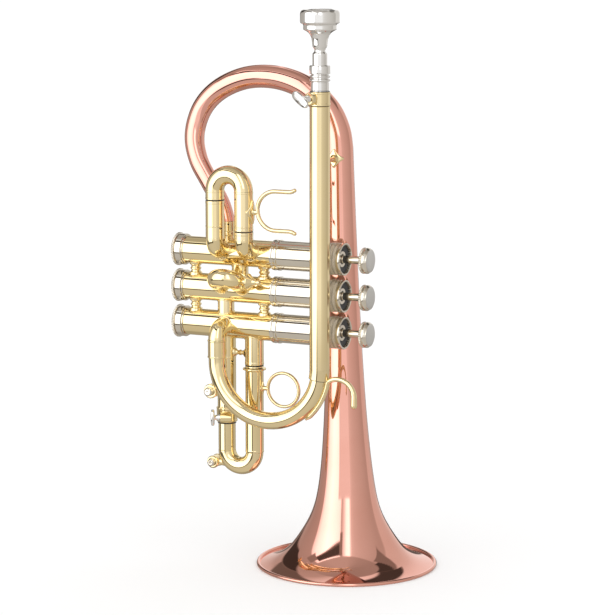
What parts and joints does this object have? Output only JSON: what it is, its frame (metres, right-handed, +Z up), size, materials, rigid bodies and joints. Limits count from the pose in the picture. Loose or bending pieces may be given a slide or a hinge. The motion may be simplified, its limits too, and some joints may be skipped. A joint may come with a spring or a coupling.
{
  "type": "soprano cornet",
  "caption": "Small valved cornet standing on its bell: copper bell and shepherd's crook, brass tubing, piston valves, tuning slides that pull and a removable mouthpiece.",
  "frame": {"origin": "centre of the bell's mouth on the surface the cornet stands on", "axes": "+Z up along the bell, +X towards the finger buttons, -Y the side with the leadpipe and mouthpiece"},
  "size_m": [0.1866, 0.1252, 0.3853],
  "materials": {
    "copper": "polished and lacquered red copper",
    "yellow_brass": "polished and lacquered pale brass",
    "nickel": "satin to polished nickel silver",
    "silver": "polished silver plate",
    "felt": "black pressed felt",
    "spring_steel": "drawn spring wire"
  },
  "bodies": {
    "horn": {"bell_flare": "copper", "bell_stem": "copper", "rim_wire": "copper", "crook": "copper", "tail_tube": "yellow_brass", "casing_1": "yellow_brass", "casing_2": "yellow_brass", "casing_3": "yellow_brass", "upper_casing_1": "nickel", "upper_casing_2": "nickel", "upper_casing_3": "nickel", "bottom_caps": "nickel", "top_caps": "nickel", "cap_felts": "felt", "valve_guides": "yellow_brass", "valve_spring_1": "spring_steel", "valve_spring_2": "spring_steel", "valve_spring_3": "spring_steel", "casing_spools": "yellow_brass", "crossover_tubes": "yellow_brass", "leadpipe": "yellow_brass", "leadpipe_collar": "yellow_brass", "leadpipe_bow": "yellow_brass", "bow_ferrules": "yellow_brass", "leadpipe_elbow": "yellow_brass", "finger_hook": "yellow_brass", "bell_brace": "yellow_brass", "casing_standoffs": "yellow_brass", "slide1_elbows": "yellow_brass", "slide1_fixed_legs": "yellow_brass", "slide2_sleeves": "yellow_brass", "slide3_fixed_legs": "yellow_brass", "slide3_brace": "yellow_brass", "slide3_collar": "yellow_brass", "water_key_upper": "yellow_brass", "water_spring_upper": "spring_steel"},
    "piston_1": {"piston_1": "nickel", "button_1": "nickel"},
    "piston_2": {"piston_2": "nickel", "button_2": "nickel"},
    "piston_3": {"piston_3": "nickel", "button_3": "nickel"},
    "mouthpipe": {"mouthpipe": "silver", "receiver": "silver"},
    "mouthpiece": {"mouthpiece": "silver"},
    "slide_1": {"slide1_bow": "yellow_brass", "slide1_legs": "yellow_brass", "thumb_saddle": "yellow_brass"},
    "slide_2": {"slide2_bow": "yellow_brass", "slide2_legs": "yellow_brass", "slide2_knob": "yellow_brass"},
    "slide_3": {"slide3_bow": "yellow_brass", "slide3_legs": "yellow_brass", "finger_ring": "yellow_brass", "water_key_lower": "yellow_brass", "water_spring_lower": "spring_steel"},
    "plunger_upper": {"water_plunger_upper": "nickel"},
    "plunger_lower": {"water_plunger_lower": "nickel"},
    "collar_screw": {"collar_screw": "silver"},
    "slide_3_screw": {"slide3_screw": "silver"}
  },
  "joints": [
    {"name": "valve_1_press", "type": "slide", "parent": "horn", "child": "piston_1", "axis": [-1, 0, 0], "range_m": [0, 0.0135], "stiffness_N_per_m": 120, "springref_m": -0.015, "deforming": ["valve_spring_1"]},
    {"name": "valve_2_press", "type": "slide", "parent": "horn", "child": "piston_2", "axis": [-1, 0, 0], "range_m": [0, 0.0135], "stiffness_N_per_m": 120, "springref_m": -0.015, "deforming": ["valve_spring_2"]},
    {"name": "valve_3_press", "type": "slide", "parent": "horn", "child": "piston_3", "axis": [-1, 0, 0], "range_m": [0, 0.0135], "stiffness_N_per_m": 120, "springref_m": -0.015, "deforming": ["valve_spring_3"]},
    {"name": "mouthpipe_pull", "type": "slide", "parent": "horn", "child": "mouthpipe", "axis": [0, 0, 1], "range_m": [0, 0.015]},
    {"name": "mouthpiece_pull", "type": "slide", "parent": "mouthpipe", "child": "mouthpiece", "axis": [0, 0, 1], "range_m": [0, 0.024]},
    {"name": "slide_1_pull", "type": "slide", "parent": "horn", "child": "slide_1", "axis": [0, 0, 1], "range_m": [0, 0.018]},
    {"name": "slide_2_pull", "type": "slide", "parent": "horn", "child": "slide_2", "axis": [0, -0.9063, 0.4226], "range_m": [0, 0.004]},
    {"name": "slide_3_pull", "type": "slide", "parent": "horn", "child": "slide_3", "axis": [0, 0, -1], "range_m": [0, 0.03]},
    {"name": "water_key_upper_press", "type": "slide", "parent": "horn", "child": "plunger_upper", "axis": [0, 1, 0], "range_m": [0, 0.003], "stiffness_N_per_m": 300, "springref_m": -0.003, "deforming": ["water_spring_upper"]},
    {"name": "water_key_lower_press", "type": "slide", "parent": "slide_3", "child": "plunger_lower", "axis": [0, 1, 0], "range_m": [0, 0.003], "stiffness_N_per_m": 300, "springref_m": -0.003, "deforming": ["water_spring_lower"]},
    {"name": "collar_screw_turn", "type": "hinge", "parent": "horn", "child": "collar_screw", "pos_m": [-0.0012, -0.0424, 0.3268], "axis": [-0.3746, -0.9272, 0], "range_deg": [0, 360]},
    {"name": "slide_3_screw_turn", "type": "hinge", "parent": "horn", "child": "slide_3_screw", "pos_m": [-0.07697, -0.03209, 0.1028], "axis": [-0.91, -0.4147, 0], "range_deg": [0, 360]}
  ]
}
